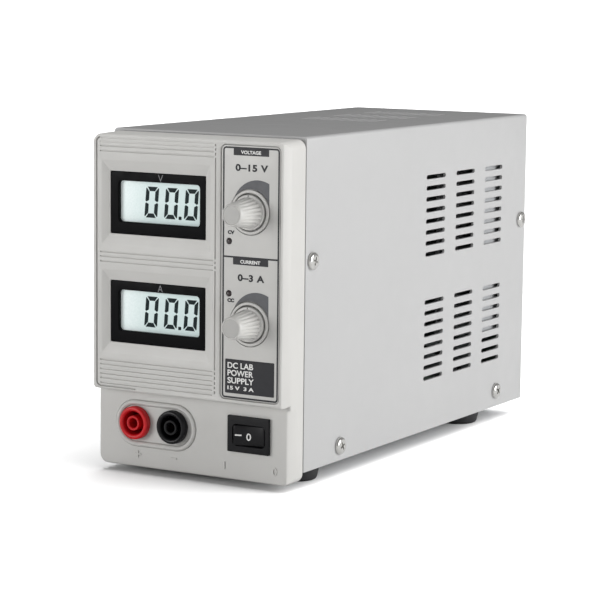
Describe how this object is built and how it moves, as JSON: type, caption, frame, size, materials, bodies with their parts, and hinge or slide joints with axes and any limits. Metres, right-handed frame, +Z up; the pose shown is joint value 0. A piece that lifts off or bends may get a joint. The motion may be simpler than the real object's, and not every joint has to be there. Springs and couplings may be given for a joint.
{
  "type": "bench power supply",
  "caption": "Desk-top laboratory DC supply: folded steel case, moulded front with volt and amp meters, rotary controls, shrouded output sockets and a rocker switch.",
  "frame": {"origin": "middle of the unit in plan, on the surface that its feet stand on", "axes": "+X to the right seen from the front, +Y towards the back panel, +Z up; the front face looks along -Y"},
  "size_m": [0.0992, 0.246, 0.1472],
  "materials": {
    "bezel_plastic": "fine satin moulded texture, warm light grey",
    "printed_label": "smooth printed film",
    "painted_steel": "light grey powder coat with a fine texture",
    "zinc_steel": "zinc-plated folded sheet",
    "nickel_screws": "bright nickel plate",
    "foot_rubber": "matt black rubber",
    "meter_black": "satin black moulding",
    "display_glass": "pale cyan reflective liquid crystal behind a clear window",
    "circuit_board": "green solder mask",
    "knob_plastic": "satin light grey, fluted",
    "shaft_aluminium": "turned",
    "brass_parts": "bright turned brass, nickelled inside",
    "indicator_lens": "dark tinted lens, unlit",
    "red_insulator": "glossy red moulding",
    "black_insulator": "glossy black moulding",
    "switch_black": "satin black moulding",
    "rocker_black": "fine textured black moulding",
    "inlet_black": "satin black moulding",
    "pin_nickel": "nickel-plated pins",
    "fuse_glass": "clear tube with metal caps",
    "core_steel": "varnished laminations",
    "copper_winding": "enamelled copper under tape",
    "component_black": "moulded component cases",
    "heat_sink_aluminium": "mill-finish extrusion"
  },
  "bodies": {
    "case": {"front_bezel": "bezel_plastic", "control_label": "printed_label", "top_cover": "painted_steel", "chassis_tray": "zinc_steel", "voltage_potentiometer": "zinc_steel", "current_potentiometer": "zinc_steel", "transformer_strap": "zinc_steel", "cover_screw_left_front_upper": "nickel_screws", "cover_screw_left_front_lower": "nickel_screws", "cover_screw_left_back_upper": "nickel_screws", "cover_screw_left_back_lower": "nickel_screws", "cover_screw_right_front_upper": "nickel_screws", "cover_screw_right_front_lower": "nickel_screws", "cover_screw_right_back_upper": "nickel_screws", "cover_screw_right_back_lower": "nickel_screws", "foot_front_left": "foot_rubber", "foot_front_right": "foot_rubber", "foot_back_left": "foot_rubber", "foot_back_right": "foot_rubber", "voltage_meter_frame": "meter_black", "voltage_display": "display_glass", "voltage_meter_board": "circuit_board", "voltage_potentiometer_nut": "brass_parts", "current_meter_frame": "meter_black", "current_display": "display_glass", "current_meter_board": "circuit_board", "current_potentiometer_nut": "brass_parts", "cv_led": "indicator_lens", "cc_led": "indicator_lens", "control_board": "circuit_board", "main_board": "circuit_board", "positive_socket_shell": "red_insulator", "output_wire_positive": "red_insulator", "negative_socket_shell": "black_insulator", "positive_socket_nut": "black_insulator", "negative_socket_nut": "black_insulator", "output_wire_negative": "black_insulator", "mains_wire": "black_insulator", "positive_socket_contact": "brass_parts", "negative_socket_contact": "brass_parts", "power_switch_housing": "switch_black", "mains_inlet": "inlet_black", "mains_pin_line": "pin_nickel", "mains_pin_neutral": "pin_nickel", "mains_pin_earth": "pin_nickel", "transformer_core": "core_steel", "transformer_winding": "copper_winding", "filter_capacitor": "component_black", "bridge_rectifier": "component_black", "pass_transistor": "component_black", "heat_sink": "heat_sink_aluminium"},
    "voltage_control": {"voltage_knob": "knob_plastic", "voltage_control_shaft": "shaft_aluminium"},
    "current_control": {"current_knob": "knob_plastic", "current_control_shaft": "shaft_aluminium"},
    "power_rocker": {"power_switch_rocker": "rocker_black"},
    "fuse_carrier": {"fuse_drawer": "inlet_black", "fuse": "fuse_glass"}
  },
  "joints": [
    {"name": "voltage_knob_turn", "type": "hinge", "parent": "case", "child": "voltage_control", "pos_m": [0.03025, -0.11, 0.1164], "axis": [0, 1, 0], "range_deg": [-150, 150]},
    {"name": "current_knob_turn", "type": "hinge", "parent": "case", "child": "current_control", "pos_m": [0.03025, -0.11, 0.0702], "axis": [0, 1, 0], "range_deg": [-150, 150]},
    {"name": "power_rocker_press", "type": "hinge", "parent": "case", "child": "power_rocker", "pos_m": [0.0281, -0.104, 0.0226], "axis": [0, 0, -1], "range_deg": [0, 20]},
    {"name": "fuse_drawer_slide", "type": "slide", "parent": "case", "child": "fuse_carrier", "axis": [0, 1, 0], "range_m": [0, 0.016]}
  ]
}
